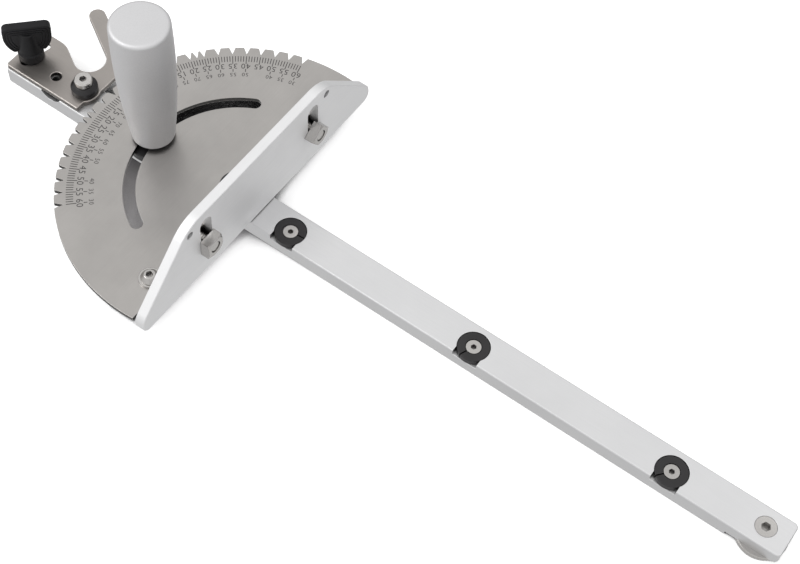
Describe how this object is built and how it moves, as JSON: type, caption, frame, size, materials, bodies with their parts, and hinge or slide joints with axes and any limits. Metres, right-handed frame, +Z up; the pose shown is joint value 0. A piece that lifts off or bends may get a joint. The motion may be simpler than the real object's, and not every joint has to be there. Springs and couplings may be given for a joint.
{
  "type": "miter gauge",
  "caption": "Table-saw mitre gauge: slotted guide bar, notched protractor head with fence bracket, clamp handle and index lever with lock knob.",
  "frame": {"origin": "on the head's pivot axis, at the underside of the guide bar", "axes": "+X along the guide bar towards its long front end, +Y to the far side, +Z up out of the table"},
  "size_m": [0.4551, 0.177, 0.0985],
  "materials": {
    "aluminium_bar": "anodised extrusion, faint lengthwise grain",
    "aluminium_fence": "clear anodised, satin",
    "aluminium_handle": "turned and bead blasted, satin",
    "stainless_plate": "fine brushed sheet, engraved scale",
    "stainless_lever": "fine brushed sheet, bright cut edges",
    "steel_fastener": "machined, slightly worn",
    "black_steel": "black oxide, satin",
    "black_plastic": "moulded, matte",
    "knob_plastic": "moulded, fine texture"
  },
  "bodies": {
    "bar": {"miter_bar": "aluminium_bar", "expansion_ring_1": "black_plastic", "expansion_ring_2": "black_plastic", "expansion_ring_3": "black_plastic", "end_screw": "steel_fastener", "t_slot_washer": "steel_fastener", "pivot_bush": "steel_fastener", "pivot_screw": "steel_fastener", "pivot_washer": "black_plastic", "clamp_stud": "steel_fastener", "slide_pad": "black_plastic", "lever_bush": "black_plastic", "lever_screw": "steel_fastener", "lock_stud": "steel_fastener"},
    "head": {"protractor_plate": "stainless_plate", "fence_bracket": "aluminium_fence", "flange_screw_left": "steel_fastener", "flange_screw_right": "steel_fastener", "flange_washer_left": "steel_fastener", "flange_washer_right": "steel_fastener"},
    "index_lever": {"index_lever": "stainless_lever", "index_tooth": "steel_fastener", "tooth_screw": "steel_fastener"},
    "lock_knob": {"lock_knob": "knob_plastic", "lock_collar": "knob_plastic"},
    "handle": {"handle": "aluminium_handle", "handle_washer": "black_steel"},
    "fence_bolt_left": {"fence_bolt_left": "steel_fastener", "fence_nut_left": "steel_fastener", "fence_washer_left": "steel_fastener"},
    "fence_bolt_right": {"fence_bolt_right": "steel_fastener", "fence_nut_right": "steel_fastener", "fence_washer_right": "steel_fastener"},
    "expansion_screw_1": {"expansion_screw_1": "steel_fastener"},
    "expansion_screw_2": {"expansion_screw_2": "steel_fastener"},
    "expansion_screw_3": {"expansion_screw_3": "steel_fastener"}
  },
  "joints": [
    {"name": "head_swing", "type": "hinge", "parent": "bar", "child": "head", "pos_m": [0, 0, 0.0127], "axis": [0, 0, 1], "range_deg": [-60, 60]},
    {"name": "index_lever_swing", "type": "hinge", "parent": "bar", "child": "index_lever", "pos_m": [-0.1002, 0.0028, 0.011], "axis": [0, 0, 1], "range_deg": [-6.65, 12]},
    {"name": "lock_knob_turn", "type": "hinge", "parent": "bar", "child": "lock_knob", "pos_m": [-0.1364, 0.0031, 0.02], "axis": [0, 0, 1], "range_deg": [0, 360]},
    {"name": "handle_turn", "type": "hinge", "parent": "bar", "child": "handle", "pos_m": [-0.052, 0, 0.05], "axis": [0, 0, 1], "range_deg": [0, 360]},
    {"name": "fence_bolt_left_slide", "type": "slide", "parent": "head", "child": "fence_bolt_left", "axis": [0, 0, 1], "range_m": [-0.001, 0.013]},
    {"name": "fence_bolt_right_slide", "type": "slide", "parent": "head", "child": "fence_bolt_right", "axis": [0, 0, 1], "range_m": [-0.001, 0.013]},
    {"name": "expansion_screw_1_turn", "type": "hinge", "parent": "bar", "child": "expansion_screw_1", "pos_m": [0.0345, -0.0017, 0.006], "axis": [0, 0, 1], "range_deg": [-180, 180]},
    {"name": "expansion_screw_2_turn", "type": "hinge", "parent": "bar", "child": "expansion_screw_2", "pos_m": [0.1419, -0.0017, 0.006], "axis": [0, 0, 1], "range_deg": [-180, 180]},
    {"name": "expansion_screw_3_turn", "type": "hinge", "parent": "bar", "child": "expansion_screw_3", "pos_m": [0.2493, -0.0017, 0.006], "axis": [0, 0, 1], "range_deg": [-180, 180]}
  ]
}
